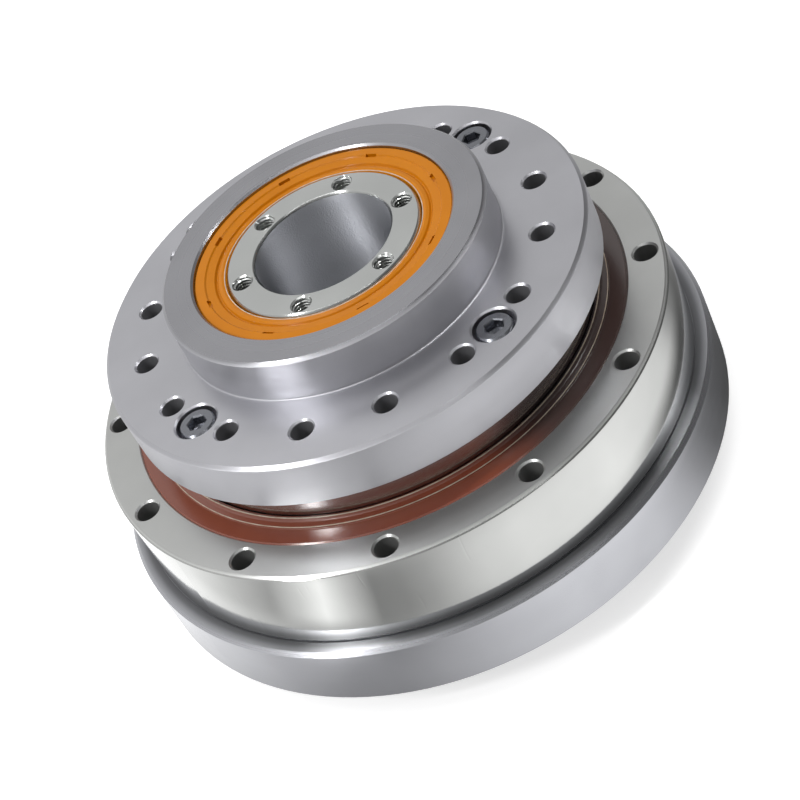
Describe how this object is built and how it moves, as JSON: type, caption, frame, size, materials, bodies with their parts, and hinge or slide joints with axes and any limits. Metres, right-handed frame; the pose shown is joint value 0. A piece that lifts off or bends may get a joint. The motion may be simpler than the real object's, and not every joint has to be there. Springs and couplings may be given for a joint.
{
  "type": "strain wave gear",
  "caption": "Round hollow-shaft strain wave gear unit: stepped steel case and ring, a slow output flange on crossed rollers, and a fast hollow input shaft with oil seals.",
  "frame": {"origin": "on the shaft axis, in the bottom face of the back boss that the unit stands on", "axes": "+Z along the shaft axis, from the input side to the output side; +X through an output cover screw"},
  "size_m": [0.095, 0.095, 0.0515],
  "materials": {
    "case_steel": "turned, satin",
    "ring_steel": "ground",
    "cover_steel": "turned, satin",
    "shaft_steel": "ground",
    "gear_steel": "hobbed and ground",
    "bearing_steel": "polished",
    "shield_steel": "pressed",
    "spring_steel": "drawn",
    "screw_steel": "oiled",
    "orange_rubber": "glossy moulded",
    "brown_rubber": "glossy moulded",
    "black_rubber": "moulded",
    "cage_nylon": "moulded"
  },
  "bodies": {
    "case": {"case_housing": "case_steel", "outer_ring": "ring_steel", "case_screws": "screw_steel", "case_o_ring": "black_rubber", "flexspline": "gear_steel", "flexspline_screws": "screw_steel", "large_oil_seal": "brown_rubber", "large_seal_spring": "spring_steel", "input_bearing_outer_ring": "bearing_steel", "input_bearing_shields": "shield_steel", "input_oil_seal": "orange_rubber", "input_seal_spring": "spring_steel"},
    "output": {"output_flange": "cover_steel", "circular_spline": "gear_steel", "inner_ring_upper": "gear_steel", "inner_ring_lower": "gear_steel", "output_screws": "screw_steel", "output_bearing_outer_ring": "bearing_steel", "output_bearing_shields": "shield_steel", "output_oil_seal": "orange_rubber", "output_seal_spring": "spring_steel"},
    "input": {"hollow_shaft": "shaft_steel", "flex_bearing_inner_race": "bearing_steel", "flex_bearing_balls": "bearing_steel", "flex_bearing_cage": "cage_nylon", "flex_bearing_outer_race": "bearing_steel", "input_bearing_inner_ring": "bearing_steel", "output_bearing_inner_ring": "bearing_steel"},
    "input_bearing_cage": {"input_bearing_balls": "bearing_steel", "input_bearing_cage": "cage_nylon"},
    "output_bearing_cage": {"output_bearing_balls": "bearing_steel", "output_bearing_cage": "cage_nylon"},
    "roller_train": {"crossed_rollers": "bearing_steel", "roller_spacers": "cage_nylon"}
  },
  "joints": [
    {"name": "input_turn", "type": "hinge", "parent": "case", "child": "input", "pos_m": [0, 0, 0.02575], "axis": [0, 0, 1], "continuous": true, "deforming": ["flexspline"]},
    {"name": "output_turn", "type": "hinge", "parent": "case", "child": "output", "pos_m": [0, 0, 0.02575], "axis": [0, 0, 1], "continuous": true},
    {"name": "input_bearing_cage_turn", "type": "hinge", "parent": "case", "child": "input_bearing_cage", "pos_m": [0, 0, 0.02575], "axis": [0, 0, 1], "continuous": true},
    {"name": "output_bearing_cage_turn", "type": "hinge", "parent": "output", "child": "output_bearing_cage", "pos_m": [0, 0, 0.02575], "axis": [0, 0, 1], "continuous": true},
    {"name": "roller_train_turn", "type": "hinge", "parent": "case", "child": "roller_train", "pos_m": [0, 0, 0.02575], "axis": [0, 0, 1], "continuous": true}
  ],
  "couplings": [
    {"joint": "output_turn", "follows": "input_turn", "ratio": 0.019608},
    {"joint": "input_bearing_cage_turn", "follows": "input_turn", "ratio": 0.45556},
    {"joint": "output_bearing_cage_turn", "follows": "input_turn", "ratio": 0.44662},
    {"joint": "roller_train_turn", "follows": "input_turn", "ratio": 0.0094211}
  ]
}
